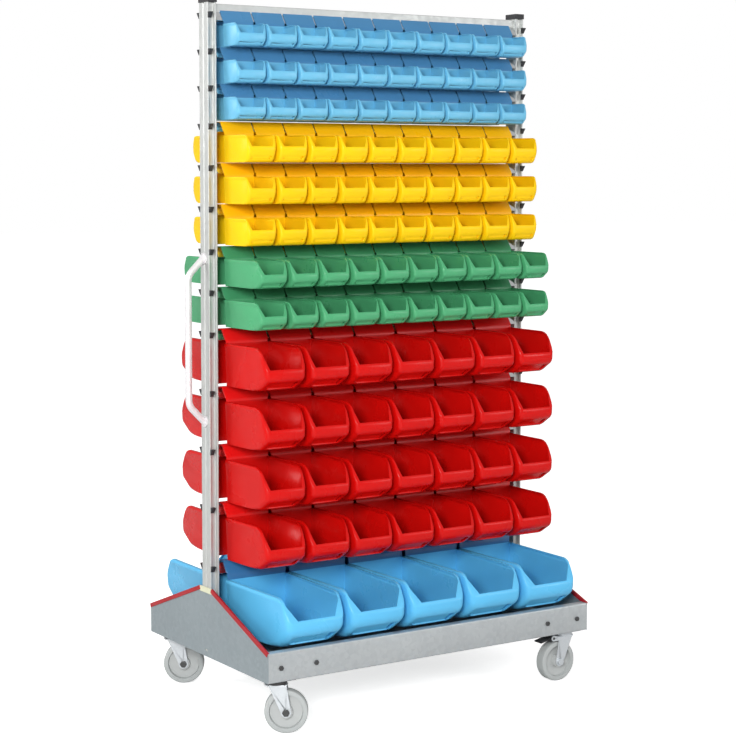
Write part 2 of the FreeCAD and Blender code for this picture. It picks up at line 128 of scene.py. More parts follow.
# %% Floor
FLOOR_GLOW = 0.62
FLOOR_BOUNCE = 0.7
deselect_all()
bpy.ops.mesh.primitive_plane_add(size=80, location=(0, 0, 0))
floor = bpy.context.object
floor.name = "studio_floor"
floor_paint = bpy.data.materials.new("studio_floor_paint")
floor_paint.use_nodes = True
nodes, links = floor_paint.node_tree.nodes, floor_paint.node_tree.links
shown = nodes["Principled BSDF"]
shown.inputs["Base Color"].default_value = (0.95, 0.95, 0.95, 1)
shown.inputs["Roughness"].default_value = 1.0
shown.inputs["Specular IOR Level"].default_value = 0.0
shown.inputs["Emission Color"].default_value = (1, 1, 1, 1)
shown.inputs["Emission Strength"].default_value = FLOOR_GLOW
dull = nodes.new("ShaderNodeBsdfDiffuse")
dull.inputs["Color"].default_value = (FLOOR_BOUNCE, FLOOR_BOUNCE, FLOOR_BOUNCE, 1)
ray = nodes.new("ShaderNodeLightPath")
floor_mix = nodes.new("ShaderNodeMixShader")
links.new(ray.outputs["Is Camera Ray"], floor_mix.inputs["Fac"])
links.new(dull.outputs["BSDF"], floor_mix.inputs[1])
links.new(shown.outputs["BSDF"], floor_mix.inputs[2])
links.new(floor_mix.outputs["Shader"], nodes["Material Output"].inputs["Surface"])
floor.data.materials.append(floor_paint)
print("floor", floor.name)

# %% [markdown]
# Three round lamps light the rack. A strong one, left of the camera and above it, reaches into the open bins.
# One at the rear left draws a line of light down the posts and the left sides. A weak one at the right keeps
# the far ends clear. The wider a lamp is, the softer its shadows are.

# %% Lamps
def soft_lamp(name, place, aim, size, power):
    data = bpy.data.lights.new(name, "AREA")
    data.shape = "DISK"
    data.size = size
    data.energy = power
    lamp = bpy.data.objects.new(name, data)
    scene.collection.objects.link(lamp)
    lamp.location = place
    lamp.rotation_euler = (Vector(aim) - Vector(place)).to_track_quat("-Z", "Y").to_euler()


soft_lamp("front_lamp", (-4.2, -4.8, 2.6), (0, 0, 1.0), 1.6, 310)
soft_lamp("rear_left_lamp", (-5.2, 3.0, 3.2), (0, 0, 1.2), 2.4, 130)
soft_lamp("right_lamp", (3.6, -4.6, 2.0), (0, 0, 1.0), 2.0, 50)
print("lamps", [light.name for light in bpy.data.lights])

# %% [markdown]
# The sky is an even white that grows a little brighter overhead, so that upper faces are lighter than upright
# ones. A picture of a studio could do the same, but a slope from the horizon up needs no file. To the camera
# the sky is plain white.

# %% Sky
SKY_LOW, SKY_HIGH = 0.36, 0.6
world = bpy.data.worlds.new("studio_world")
scene.world = world
world.use_nodes = True
nodes, links = world.node_tree.nodes, world.node_tree.links
sky = nodes["Background"]
toward = nodes.new("ShaderNodeTexCoord")
height = nodes.new("ShaderNodeSeparateXYZ")
level = nodes.new("ShaderNodeMapRange")
level.inputs["From Min"].default_value = 0.0
level.inputs["From Max"].default_value = 0.9
level.inputs["To Min"].default_value = SKY_LOW
level.inputs["To Max"].default_value = SKY_HIGH
links.new(toward.outputs["Generated"], height.inputs["Vector"])
links.new(height.outputs["Z"], level.inputs["Value"])
links.new(level.outputs["Result"], sky.inputs["Strength"])
sky.inputs["Color"].default_value = (1, 1, 1, 1)
seen = nodes.new("ShaderNodeLightPath")
mix = nodes.new("ShaderNodeMixShader")
white = nodes.new("ShaderNodeBackground")
white.inputs["Color"].default_value = (1, 1, 1, 1)
links.new(seen.outputs["Is Camera Ray"], mix.inputs["Fac"])
links.new(sky.outputs["Background"], mix.inputs[1])
links.new(white.outputs["Background"], mix.inputs[2])
links.new(mix.outputs["Shader"], nodes["World Output"].inputs["Surface"])
scene.view_settings.view_transform = "Standard"
print("sky from", SKY_LOW, "to", SKY_HIGH)

# %% [markdown]
# Three surface effects are shared by several finishes, so each one is a node group with named inputs and
# outputs. The shader itself stays in each material. One helper makes a group, the other a node inside it.

# %% Node groups
def new_group(name, inputs, outputs):
    group = bpy.data.node_groups.new(name, "ShaderNodeTree")
    for title, kind, value in inputs:
        socket = group.interface.new_socket(title, in_out="INPUT", socket_type=kind)
        socket.default_value = value
    for title, kind in outputs:
        group.interface.new_socket(title, in_out="OUTPUT", socket_type=kind)
    start = group.nodes.new("NodeGroupInput")
    end = group.nodes.new("NodeGroupOutput")
    return group, start, end


def node(tree, kind, **values):
    made = tree.nodes.new(kind)
    for key, value in values.items():
        setattr(made, key, value)
    return made


print("group helpers ready")

# %% [markdown]
# Mottle clouds a colour a little, as moulding and handling do. A painted picture could do it too, but noise
# on Object coordinates has no seams and fits a piece of any shape. The cloud is also put out as a mask, so
# that the gloss can follow it.

# %% Mottle
GREY = (0.5, 0.5, 0.5, 1)
WHITE = (1, 1, 1, 1)
mottle, start, end = new_group(
    "mottle",
    [("Color", "NodeSocketColor", GREY), ("Scale", "NodeSocketFloat", 8.0),
     ("Amount", "NodeSocketFloat", 0.1)],
    [("Color", "NodeSocketColor"), ("Mask", "NodeSocketFloat")])
place = node(mottle, "ShaderNodeTexCoord")
cloud = node(mottle, "ShaderNodeTexNoise")
cloud.inputs["Detail"].default_value = 4.0
spread = node(mottle, "ShaderNodeMapRange")
spread.inputs["From Min"].default_value = 0.3
spread.inputs["From Max"].default_value = 0.7
darker = node(mottle, "ShaderNodeMath", operation="MULTIPLY")
tone = node(mottle, "ShaderNodeMix", data_type="RGBA", blend_type="MULTIPLY")
shade = node(mottle, "ShaderNodeMix", data_type="RGBA")
shade.inputs[6].default_value = WHITE
shade.inputs[7].default_value = (0.72, 0.72, 0.74, 1)
tone.inputs[0].default_value = 1.0
mottle.links.new(place.outputs["Object"], cloud.inputs["Vector"])
mottle.links.new(start.outputs["Scale"], cloud.inputs["Scale"])
mottle.links.new(cloud.outputs["Fac"], spread.inputs["Value"])
mottle.links.new(spread.outputs["Result"], darker.inputs[0])
mottle.links.new(start.outputs["Amount"], darker.inputs[1])
mottle.links.new(darker.outputs["Value"], shade.inputs[0])
mottle.links.new(start.outputs["Color"], tone.inputs[6])
mottle.links.new(shade.outputs[2], tone.inputs[7])
mottle.links.new(tone.outputs[2], end.inputs["Color"])
mottle.links.new(spread.outputs["Result"], end.inputs["Mask"])
print("effect", mottle.name)

# %% [markdown]
# Spangle is the pattern of crystals in a zinc coat. Each crystal throws light back a little differently. A
# Voronoi texture gives such cells, and the random colour of each cell sets its tone and its roughness.

# %% Spangle
spangle, start, end = new_group(
    "spangle",
    [("Color", "NodeSocketColor", GREY), ("Scale", "NodeSocketFloat", 60.0),
     ("Amount", "NodeSocketFloat", 0.2)],
    [("Color", "NodeSocketColor"), ("Roughness", "NodeSocketFloat")])
place = node(spangle, "ShaderNodeTexCoord")
crystal = node(spangle, "ShaderNodeTexVoronoi")
split = node(spangle, "ShaderNodeSeparateColor")
darker = node(spangle, "ShaderNodeMath", operation="MULTIPLY")
shade = node(spangle, "ShaderNodeMix", data_type="RGBA")
shade.inputs[6].default_value = WHITE
shade.inputs[7].default_value = (0.62, 0.64, 0.66, 1)
tone = node(spangle, "ShaderNodeMix", data_type="RGBA", blend_type="MULTIPLY")
tone.inputs[0].default_value = 1.0
rough = node(spangle, "ShaderNodeMapRange")
rough.inputs["To Min"].default_value = 0.36
rough.inputs["To Max"].default_value = 0.54
spangle.links.new(place.outputs["Object"], crystal.inputs["Vector"])
spangle.links.new(start.outputs["Scale"], crystal.inputs["Scale"])
spangle.links.new(crystal.outputs["Color"], split.inputs["Color"])
spangle.links.new(split.outputs["Red"], darker.inputs[0])
spangle.links.new(start.outputs["Amount"], darker.inputs[1])
spangle.links.new(darker.outputs["Value"], shade.inputs[0])
spangle.links.new(start.outputs["Color"], tone.inputs[6])
spangle.links.new(shade.outputs[2], tone.inputs[7])
spangle.links.new(tone.outputs[2], end.inputs["Color"])
spangle.links.new(split.outputs["Green"], rough.inputs["Value"])
spangle.links.new(rough.outputs["Result"], end.inputs["Roughness"])
print("effect", spangle.name)

# %% [markdown]
# Grain is the fine unevenness of a moulded or coated skin. It is too small to model, so the group only puts
# out a height, which the Bump node of each finish takes.

# %% Grain
grain, start, end = new_group(
    "grain", [("Scale", "NodeSocketFloat", 400.0)], [("Height", "NodeSocketFloat")])
place = node(grain, "ShaderNodeTexCoord")
fine = node(grain, "ShaderNodeTexNoise")
fine.inputs["Detail"].default_value = 2.0
grain.links.new(place.outputs["Object"], fine.inputs["Vector"])
grain.links.new(start.outputs["Scale"], fine.inputs["Scale"])
grain.links.new(fine.outputs["Fac"], end.inputs["Height"])
print("effect", grain.name)

# %% [markdown]
# The bins are injection-moulded plastic: one strong colour with a slight cloudiness, a satin gloss that
# varies a little, and a fine skin. Each colour could be set up by hand, but one function makes them all in
# the same way.

# %% Moulded plastic
def srgb(red, green, blue):
    def linear(level):
        level /= 255
        return level / 12.92 if level <= 0.04045 else ((level + 0.055) / 1.055) ** 2.4
    return (linear(red), linear(green), linear(blue), 1)


def use_group(tree, group, **values):
    made = tree.nodes.new("ShaderNodeGroup")
    made.node_tree = group
    for key, value in values.items():
        made.inputs[key].default_value = value
    return made


def moulded(name, color, roughness, sheen=0.35, scale=9.0, amount=0.25, grain_scale=500.0, bump=0.06):
    finish = bpy.data.materials.new(name)
    finish.use_nodes = True
    tree = finish.node_tree
    shader = tree.nodes["Principled BSDF"]
    shader.inputs["Specular IOR Level"].default_value = sheen
    cloud = use_group(tree, mottle, Color=color, Scale=scale, Amount=amount)
    gloss = node(tree, "ShaderNodeMapRange")
    gloss.inputs["To Min"].default_value = roughness - 0.05
    gloss.inputs["To Max"].default_value = roughness + 0.07
    skin = use_group(tree, grain, Scale=grain_scale)
    relief = node(tree, "ShaderNodeBump")
    relief.inputs["Strength"].default_value = bump
    relief.inputs["Distance"].default_value = 0.001
    tree.links.new(cloud.outputs["Color"], shader.inputs["Base Color"])
    tree.links.new(cloud.outputs["Mask"], gloss.inputs["Value"])
    tree.links.new(gloss.outputs["Result"], shader.inputs["Roughness"])
    tree.links.new(skin.outputs["Height"], relief.inputs["Height"])
    tree.links.new(relief.outputs["Normal"], shader.inputs["Normal"])
    return finish


print("plastic ready")

# %% [markdown]
# The steel parts have a zinc coat: crystals over a slightly cloudy grey. A dull coat scatters light, so it is
# only partly metallic. A polished strip gets a gloss of its own in place of the crystals' roughness.

# %% Zinc coat
def zinc_coated(name, color, metallic, scale, amount, gloss=None):
    finish = bpy.data.materials.new(name)
    finish.use_nodes = True
    tree = finish.node_tree
    shader = tree.nodes["Principled BSDF"]
    shader.inputs["Metallic"].default_value = metallic
    cloud = use_group(tree, mottle, Color=color, Scale=3.0, Amount=0.35)
    crystal = use_group(tree, spangle, Scale=scale, Amount=amount)
    skin = use_group(tree, grain, Scale=300.0)
    relief = node(tree, "ShaderNodeBump")
    relief.inputs["Strength"].default_value = 0.05
    relief.inputs["Distance"].default_value = 0.001
    tree.links.new(cloud.outputs["Color"], crystal.inputs["Color"])
    tree.links.new(crystal.outputs["Color"], shader.inputs["Base Color"])
    if gloss is None:
        tree.links.new(crystal.outputs["Roughness"], shader.inputs["Roughness"])
    else:
        polish = node(tree, "ShaderNodeMapRange")
        polish.inputs["To Min"].default_value = gloss - 0.04
        polish.inputs["To Max"].default_value = gloss + 0.05
        tree.links.new(cloud.outputs["Mask"], polish.inputs["Value"])
        tree.links.new(polish.outputs["Result"], shader.inputs["Roughness"])
    tree.links.new(skin.outputs["Height"], relief.inputs["Height"])
    tree.links.new(relief.outputs["Normal"], shader.inputs["Normal"])
    return finish


print("zinc ready")

# %% [markdown]
# Most nodes take the finish that their slot names. The posts, the end panels and the handle are brighter or
# duller steel than the rest of their slot, so they get another finish by name. The two left caster plates get
# the dark steel as painted shade for the shadow gap between base and fork, and the front right axle gets
# bright zinc, unlike the other axles.

# %% Finishes of the nodes
finishes = {
    "galvanised_steel": zinc_coated("galvanised_steel", srgb(198, 203, 204), 0.55, 90.0, 0.25),
    "zinc_steel": zinc_coated("bright_zinc", srgb(222, 227, 230), 0.6, 220.0, 0.12),
    "dark_bolt_steel": zinc_coated("dark_bolt_steel", srgb(90, 90, 90), 0.7, 300.0, 0.3),
    "red_edge_trim": moulded("red_edge_trim", srgb(170, 28, 36), 0.42),
    "cream_plastic": moulded("cream_plastic", srgb(216, 216, 186), 0.45),
    "dark_plastic": moulded("dark_plastic", srgb(52, 52, 54), 0.5),
    "dark_pedal": moulded("dark_pedal", srgb(48, 48, 50), 0.45),
    "grey_wheel": moulded("grey_wheel", srgb(178, 182, 181), 0.55),
    "light_blue_plastic": moulded("light_blue_plastic", srgb(109, 186, 221), 0.3),
    "yellow_plastic": moulded("yellow_plastic", srgb(250, 204, 14), 0.34, sheen=0.2),
    "green_plastic": moulded("green_plastic", srgb(78, 165, 114), 0.3),
    "red_plastic": moulded("red_plastic", srgb(206, 13, 10), 0.28, sheen=0.22),
    "blue_plastic": moulded("blue_plastic", srgb(96, 191, 238), 0.3),
}
for entry in frame["record"]["subparts"]:
    piece = frame["nodes"][entry["node"]]
    piece.data.materials.clear()
    piece.data.materials.append(finishes[entry["material_slot"]])
finishes["bright_post"] = zinc_coated("bright_post", srgb(204, 206, 203), 0.45, 90.0, 0.12)
finishes["panel_zinc"] = zinc_coated("panel_zinc", srgb(164, 175, 179), 0.55, 90.0, 0.25)
finishes["bright_tube"] = zinc_coated("bright_tube", srgb(238, 235, 236), 0.35, 220.0, 0.06)
finishes["mirror_rail"] = zinc_coated("mirror_rail", srgb(228, 230, 230), 1.0, 160.0, 0.1, gloss=0.16)
OWN_FINISH = {
    "bright_post": ("left_upright", "right_upright", "top_bar"),
    "panel_zinc": ("left_end_panel", "right_end_panel"),
    "bright_tube": ("push_handle", "handle_flanges"),
    "zinc_steel": ("front_right_axle",),
    # painted shade: dark steel on the two left caster plates stands for the shadow gap under the base
    "dark_bolt_steel": ("front_left_caster_plate", "rear_left_caster_plate"),
}
for finish, names in OWN_FINISH.items():
    for name in names:
        frame["nodes"][name].data.materials[0] = finishes[finish]
print("finishes", len(finishes))

# %% [markdown]
# Every bin is one plastic moulding: a tapered tub with a cut-away front, a lip, a recessed label field
# under the lip, a band below the rim and a flange round the mouth. Its rear wall rises behind the opening,
# leans back with the slope of a rail and hooks over the rail's edge. It could be drawn face by face, but a
# block that is sliced, opened and given a wall shows better how the shape comes about. The places are read
# from the loose bins of the construction. All lengths are in metres, from the rear and the base of a bin.

# %% Bin sizes
BAY = 1.056          # length of a row of bins
BIN_GAP = 0.0012     # play between neighbours
RAIL_REACH = 0.020   # run of a rail's slope
RAIL_HEIGHT = 0.028  # height of that slope
REAR = 0.006         # the tub stands this far in front of the rail's foot
FOOT_BACK = 0.0015   # lean of the wall below the rail
HOOK_OVER = 0.0005   # room above the rail's edge
HOOK_RUN = 0.0046    # way over the edge
HOOK_LEG = 0.0025    # way down behind it
HOOK_TOP = 0.0026    # top of the hook above the rail, where the bin is widest
# count and rows: how many bins; pitch: from row to row; drop: base below that of the construction
# depth: rear to lip; rim, rim_front: height and front end of the rim; lip_top, lip_bottom: edges of the lip
# base: depth of the foot; rise: from the rim to the rail's edge; bead: rounding of the rim
# band: height of the band; frame, gusset: flange round the mouth; corner, turn: rounding of front, opening
# slot: finish of the tub; last, the colour of the flange on the rail: the tub's colour in another tone, mostly
# darker, as painted shade for the dark band along each rail
BINS = {
    "small_blue": dict(
        count=10, rows=3, pitch=0.1058, drop=0.005, depth=0.087, rim=0.065, rim_front=0.074, lip_top=0.032,
        lip_bottom=0.016, base=0.070, rise=0.037, wall=0.0022, bead=0.0022, band=0.006, frame=0.0040,
        gusset=0.007, corner=0.006, turn=0.008, slot="light_blue_plastic", painted_flange_shade=(74, 132, 176)),
    "yellow": dict(
        count=10, rows=3, pitch=0.1202, drop=0.0115, depth=0.145, rim=0.0795, rim_front=0.130,
        lip_top=0.042, lip_bottom=0.0285, base=0.130, rise=0.037, wall=0.0022, bead=0.0024, band=0.007,
        frame=0.0045, gusset=0.009, corner=0.008, turn=0.010, slot="yellow_plastic", painted_flange_shade=(255, 192, 16)),
    "green": dict(
        count=10, rows=2, pitch=0.1195, drop=0.0, depth=0.210, rim=0.080, rim_front=0.188, lip_top=0.037,
        lip_bottom=0.021, base=0.183, rise=0.0325, wall=0.0024, bead=0.0026, band=0.008, frame=0.0050,
        gusset=0.010, corner=0.009, turn=0.013, slot="green_plastic", painted_flange_shade=(70, 152, 104)),
    "red": dict(
        count=7, rows=4, pitch=0.1717, drop=0.0, depth=0.238, rim=0.126, rim_front=0.200, lip_top=0.059,
        lip_bottom=0.034, base=0.185, rise=0.0375, wall=0.0028, bead=0.0036, band=0.010, frame=0.0065,
        gusset=0.008, corner=0.013, turn=0.028, slot="red_plastic", painted_flange_shade=(232, 24, 24)),
    "large_blue": dict(
        count=5, rows=1, pitch=0.0, drop=0.0, depth=0.354, rim=0.148, rim_front=0.314, lip_top=0.080,
        lip_bottom=0.050, base=0.285, rise=0.048, wall=0.0034, bead=0.0046, band=0.012, frame=0.0085,
        gusset=0.024, corner=0.018, turn=0.022, slot="blue_plastic", painted_flange_shade=(58, 118, 170)),
}
SIDE_LEAN = math.tan(math.radians(2.4))
FRONT_LEAN = math.tan(math.radians(1.0))


def half_width(size):
    return (BAY / size["count"] - BIN_GAP) / 2


print("half widths", {kind: round(half_width(size), 4) for kind, size in BINS.items()})

# %% [markdown]
# A tub is cut from a block, and its edges are then rounded. Bisect cuts and closes in one step, so no knife
# is needed. The edges to round are found by their place, or by the way the two faces beside them point.

# %% Cutting and rounding
NEAR = 1e-4   # closer than this counts as the same place
FINE = 1e-5   # the same, where corners lie close together
MOSTLY = 0.9  # a normal with this share of an axis points along it


def slice_off(point, normal):
    bpy.ops.mesh.select_all(action="SELECT")
    bpy.ops.mesh.bisect(plane_co=point, plane_no=normal, use_fill=True, clear_outer=True)


def round_edges(offset, segments, test):
    pick("edges", test)
    bpy.ops.mesh.bevel(offset=offset, segments=segments, affect="EDGES")


def along(y, z):
    return lambda e: all(abs(v.co.y - y) < NEAR and abs(v.co.z - z) < NEAR for v in e.verts)


def between(first, second):
    def test(edge):
        if len(edge.link_faces) != 2:
            return False
        one, two = (face.normal for face in edge.link_faces)
        return first(one) and second(two) or first(two) and second(one)
    return test


def to_side(normal):
    return abs(normal.x) > MOSTLY


def to_front(normal):
    return normal.y < -0.15 and normal.z < 0.05 and abs(normal.x) < 0.3


def to_top(normal):
    return normal.z > 0.05


print("cutting tools ready")

# %% [markdown]
# The block is wider than the bin. Planes cut it: one leaves the slanted front opening, one the sloping foot,
# and two the leaning sides. The edge between rim and opening is rounded. Then the top is inset, and only its
# border is kept: a flange round the mouth, which widens to a gusset in the two lower corners of the opening.
# The nose below the lip and the front corners are rounded last.

# %% Tub
NOSE_SHARE = 0.28  # rounding of the nose, as a share of the lip's height
BLOCK_WIDTH = 3    # width of the block, in half widths of the bin


def frame_mouth(size):
    pick("faces", lambda f: to_top(f.normal))
    bpy.ops.mesh.inset(thickness=size["frame"], depth=0)
    bpy.ops.mesh.delete(type="FACE")
    pick("faces", lambda f: f.normal.z > MOSTLY and f.calc_center_median().y > -REAR - size["frame"])
    bpy.ops.mesh.delete(type="FACE")
    low = size["lip_top"] + size["frame"]
    for side in (-1, 1):
        pick("verts", lambda v: v.is_boundary and side * v.co.x > 0 and v.co.z < low)
        bpy.ops.transform.translate(value=(-side * size["gusset"], 0, 0))


def model_tub(kind):
    size = BINS[kind]
    depth, rim = size["depth"], size["rim"]
    half = half_width(size)
    deselect_all()
    bpy.ops.mesh.primitive_cube_add(size=1, location=(0, -(depth + REAR) / 2, rim / 2),
                                    scale=(BLOCK_WIDTH * half, depth - REAR, rim))
    tub = bpy.context.object
    tub.name = kind + "_tub"
    settle(tub)
    edit(tub)
    fall, run = rim - size["lip_top"], depth - size["rim_front"]
    slice_off((0, -depth, size["lip_top"]), (0, -fall, run))
    slice_off((0, -size["base"], 0), (0, -size["lip_bottom"], size["base"] - depth))
    hook_top = rim + size["rise"] + HOOK_TOP
    for side in (-1, 1):
        slice_off((side * half, 0, hook_top), (side, -FRONT_LEAN, -SIDE_LEAN))
    round_edges(size["turn"], 4, along(-size["rim_front"], rim))
    frame_mouth(size)
    nose = NOSE_SHARE * size["lip_bottom"]
    round_edges(nose, 2, along(-depth, size["lip_bottom"]))
    round_edges(nose, 2, along(-size["base"], 0))
    round_edges(size["corner"], 3, between(to_side, to_front))
    leave()
    return tub


print("tub ready")

# %% [markdown]
# The label field is a shallow recess in the slope under the lip: an inset face with two round corners at one
# end and a deeper notch at the other. A boolean cut would do as well, but inset and extrude keep the faces
# few and clean. The border and the corners are shares of the lip's height, the depths are shares of the wall.

# %% Label field
FIELD = dict(border=0.08, margin=0.001, round=0.3, depth=0.8, notch_depth=2.0)
SAME_WAY = 0.999  # two normals with this product point the same way


def push_faces(distance):
    bpy.ops.mesh.extrude_region_shrink_fatten(TRANSFORM_OT_shrink_fatten={"value": -distance})


def press_label_field(size):
    slope = Vector((0, -size["lip_bottom"], size["base"] - size["depth"])).normalized()

    def sloping(face):
        return face.normal.dot(slope) > SAME_WAY

    def within(face, start, end):
        return sloping(face) and all(start - FINE < v.co.x < end + FINE for v in face.verts)

    pick("faces", sloping)
    bpy.ops.mesh.inset(thickness=FIELD["border"] * size["lip_bottom"] + FIELD["margin"], depth=0)
    form = bmesh.from_edit_mesh(bpy.context.edit_object.data)
    field = max((face for face in form.faces if sloping(face)), key=lambda face: face.calc_area())
    left = min(vert.co.x for vert in field.verts)
    right = max(vert.co.x for vert in field.verts)
    corners = {tuple(vert.co) for vert in field.verts if vert.co.x < (left + right) / 2}
    pick("verts", lambda v: tuple(v.co) in corners)
    corner = FIELD["round"] * size["lip_bottom"]
    bpy.ops.mesh.bevel(offset=corner, segments=3, affect="VERTICES")
    inside = left + FIELD["margin"]
    pick("faces", lambda f: sloping(f) and f.calc_center_median().x > inside and len(f.verts) > 5)
    notch = right - corner
    bpy.ops.mesh.bisect(plane_co=(notch, 0, 0), plane_no=(1, 0, 0))
    pick("faces", lambda f: within(f, left, right)
         and (len(f.verts) > 5 or f.calc_center_median().x > notch))
    push_faces(FIELD["depth"] * size["wall"])
    pick("faces", lambda f: within(f, notch, right))
    push_faces(FIELD["notch_depth"] * size["wall"])


print("label field ready")

# %% [markdown]
# The band below the rim stiffens the mouth: a strip of each side is marked off by two cuts and moved out. The
# rear wall grows from its upper edge, one extrusion for each bend: up to the foot of the rail, back along the
# rail's slope, over its edge and down behind it.

# %% Band and rear wall
BAND = dict(out=0.45, ramp=0.6)  # shares of the wall


def draw_edges(way):
    bpy.ops.mesh.extrude_edges_move(TRANSFORM_OT_translate={"value": way})


def push_band(size):
    low = size["rim"] - size["band"]
    for side in (-1, 1):
        for level in (low, low - BAND["ramp"] * size["wall"]):
            pick("faces", lambda f: side * f.normal.x > MOSTLY)
            bpy.ops.mesh.bisect(plane_co=(0, 0, level), plane_no=(0, 0, 1))
        pick("verts", lambda v: v.co.z > low - FINE
             and any(side * f.normal.x > MOSTLY for f in v.link_faces))
        bpy.ops.transform.translate(value=(side * BAND["out"] * size["wall"], 0, 0))


def grow_rear_wall(size):
    rim = size["rim"]
    pick("edges", lambda e: e.is_boundary
         and all(v.co.y > -REAR - NEAR and v.co.z > rim - NEAR for v in e.verts))
    half = half_width(size)
    spread = half / (half - SIDE_LEAN * (size["rise"] + HOOK_OVER) - FRONT_LEAN * REAR)
    draw_edges((0, FOOT_BACK, size["rise"] - RAIL_HEIGHT))
    bpy.ops.transform.resize(value=(spread, 1, 1), center_override=(0, 0, 0))
    draw_edges((0, RAIL_REACH, RAIL_HEIGHT + HOOK_OVER))
    draw_edges((0, HOOK_RUN, 0))
    draw_edges((0, 0, -HOOK_LEG))


print("band and wall ready")

# %% [markdown]
# Up to here a bin is a skin without thickness. The label field, the rounded rim, the band and the rear wall
# are put on the skin, because a skin has only half the faces to pick. Solidify then gives it the wall, and
# smooth shading keeps the edges that are sharper than the angle.

# %% Whole bin
SMOOTH_ANGLE = math.radians(40)


def model_bin(kind):
    size = BINS[kind]
    tub = model_tub(kind)
    edit(tub)
    press_label_field(size)
    round_edges(size["bead"], 2, between(to_top, lambda normal: normal.z <= 0.05 and normal.y < 0.5))
    push_band(size)
    grow_rear_wall(size)
    leave()
    use_modifier(tub, "SOLIDIFY", thickness=size["wall"], offset=-1)
    edit(tub)
    bpy.ops.mesh.normals_make_consistent(inside=False)
    leave()
    bpy.ops.object.shade_smooth_by_angle(angle=SMOOTH_ANGLE)
    return tub


print("bin ready")

# %% [markdown]
# What repeats is modelled once. A copy gets its own mesh and has its place in that mesh, so that the object
# itself stays at the origin. An array modifier repeats a piece at even steps, and a half turn makes the rear
# side.

# %% Copies
def copy_of(piece, name, shift):
    only(piece)
    bpy.ops.object.duplicate(linked=False)
    made = bpy.context.object
    made.name = name
    made.location = shift
    settle(made)
    return made


def turn_half_round(piece, middle):
    edit(piece)
    bpy.ops.transform.rotate(value=math.pi, orient_axis="Z", center_override=(middle, 0, 0))
    leave()


def join(pieces):
    deselect_all()
    for piece in pieces:
        piece.select_set(True)
    bpy.context.view_layer.objects.active = pieces[0]
    bpy.ops.object.join()
    return pieces[0]


def repeat(piece, count, step):
    use_modifier(piece, "ARRAY", count=count, use_relative_offset=False, use_constant_offset=True,
                 constant_offset_displace=step)


print("copying tools ready")

# %% [markdown]
# A row is one bin repeated along its rail, and the rows of a kind repeat downwards. The first bin stays
# single, because it can be lifted off. The rear side is the same rows turned half round about an upright line
# through the middle of the rack. The thin flange on the rail gets a copy of the tub's plastic in another tone,
# mostly darker: painted shade for the dark band that runs along each rail. The heights of the rails' edges are
# kept for the next step.

# %% Rows of bins
rail_tops = []
for kind, size in BINS.items():
    tub = model_bin(kind)
    tub.data.materials.append(finishes[size["slot"]])
    # painted shade: the flange faces get the plastic in another tone, for the dark band along each rail
    tub.data.materials.append(moulded(kind + "_flange", srgb(*size["painted_flange_shade"]), 0.3, sheen=0.25))
    for face in tub.data.polygons:
        face.material_index = int(face.center.z > size["rim"] + size["wall"])
    step = BAY / size["count"]
    low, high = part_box("loose_" + kind + "_bin")
    first = ((low[0] + high[0]) / 2, high[1], low[2] - size["drop"])
    top = first[2] + size["rim"] + size["rise"]
    rail_tops += [top - row * size["pitch"] for row in range(size["rows"])]
    loose = copy_of(tub, "loose_" + kind + "_bin_moulded", first)
    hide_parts("loose_" + kind + "_bin")
    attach(loose, "loose_" + kind + "_bin")
    row = copy_of(tub, "front_" + kind + "_bins_moulded", (first[0] + step, first[1], first[2]))
    repeat(row, size["count"] - 1, (step, 0, 0))
    if size["rows"] > 1:
        lower = copy_of(tub, kind + "_lower", (first[0], first[1], first[2] - size["pitch"]))
        repeat(lower, size["count"], (step, 0, 0))
        repeat(lower, size["rows"] - 1, (0, 0, -size["pitch"]))
        row = join([row, lower])
    back = copy_of(tub, "rear_" + kind + "_bins_moulded", first)
    repeat(back, size["count"], (step, 0, 0))
    if size["rows"] > 1:
        repeat(back, size["rows"], (0, 0, -size["pitch"]))
    turn_half_round(back, first[0] - step / 2 + BAY / 2)
    for piece, side in ((row, "front_"), (back, "rear_")):
        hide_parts(side + kind + "_bins")
        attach(piece, "frame")
    print(kind, "faces of one bin", len(tub.data.polygons), "front", len(row.data.polygons))
    bpy.data.objects.remove(tub, do_unlink=True)

# %% [markdown]
# Each rail is a strip of sheet folded once and set between the posts: a level flange, and a slope that leans
# back from its front edge. The bins lie against the slope and hook over its upper edge. These rails take the
# place of those of the construction, whose slope leans the other way. A section could be drawn and pulled
# out, but a strip whose front edge is extruded follows the way sheet is folded. One rail is copied to each
# height, and all are joined.

# %% Folded rails
RAIL_SHEET = 0.0015  # thickness, and rounding of the fold
RAIL_PLAY = 0.0004   # room between rail and bin


def middle_of(name):
    low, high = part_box(name)
    return (low[0] + high[0]) / 2


def fold_rail(foot):
    left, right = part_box("left_upright")[1][0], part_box("right_upright")[0][0]
    front = foot - REAR + FOOT_BACK + RAIL_PLAY
    back = front + RAIL_REACH
    deselect_all()
    middle = ((left + right) / 2, (front + back) / 2, -RAIL_HEIGHT)
    bpy.ops.mesh.primitive_plane_add(size=1, location=middle)
    rail = bpy.context.object
    rail.scale = (right - left, back - front, 1)
    settle(rail)
    edit(rail)
    pick("edges", lambda e: all(v.co.y < front + FINE for v in e.verts))
    draw_edges((0, RAIL_REACH, RAIL_HEIGHT))
    pick("edges", lambda e: len(e.link_faces) == 2)
    bpy.ops.mesh.bevel(offset=RAIL_SHEET, segments=3, affect="EDGES")
    bpy.ops.mesh.select_all(action="SELECT")
    bpy.ops.mesh.normals_make_consistent(inside=False)
    outward = any(face.normal.z < -MOSTLY for face in bmesh.from_edit_mesh(rail.data).faces)
    leave()
    use_modifier(rail, "SOLIDIFY", thickness=RAIL_SHEET, offset=-1 if outward else 1)
    bpy.ops.object.shade_smooth_by_angle(angle=SMOOTH_ANGLE)
    return rail


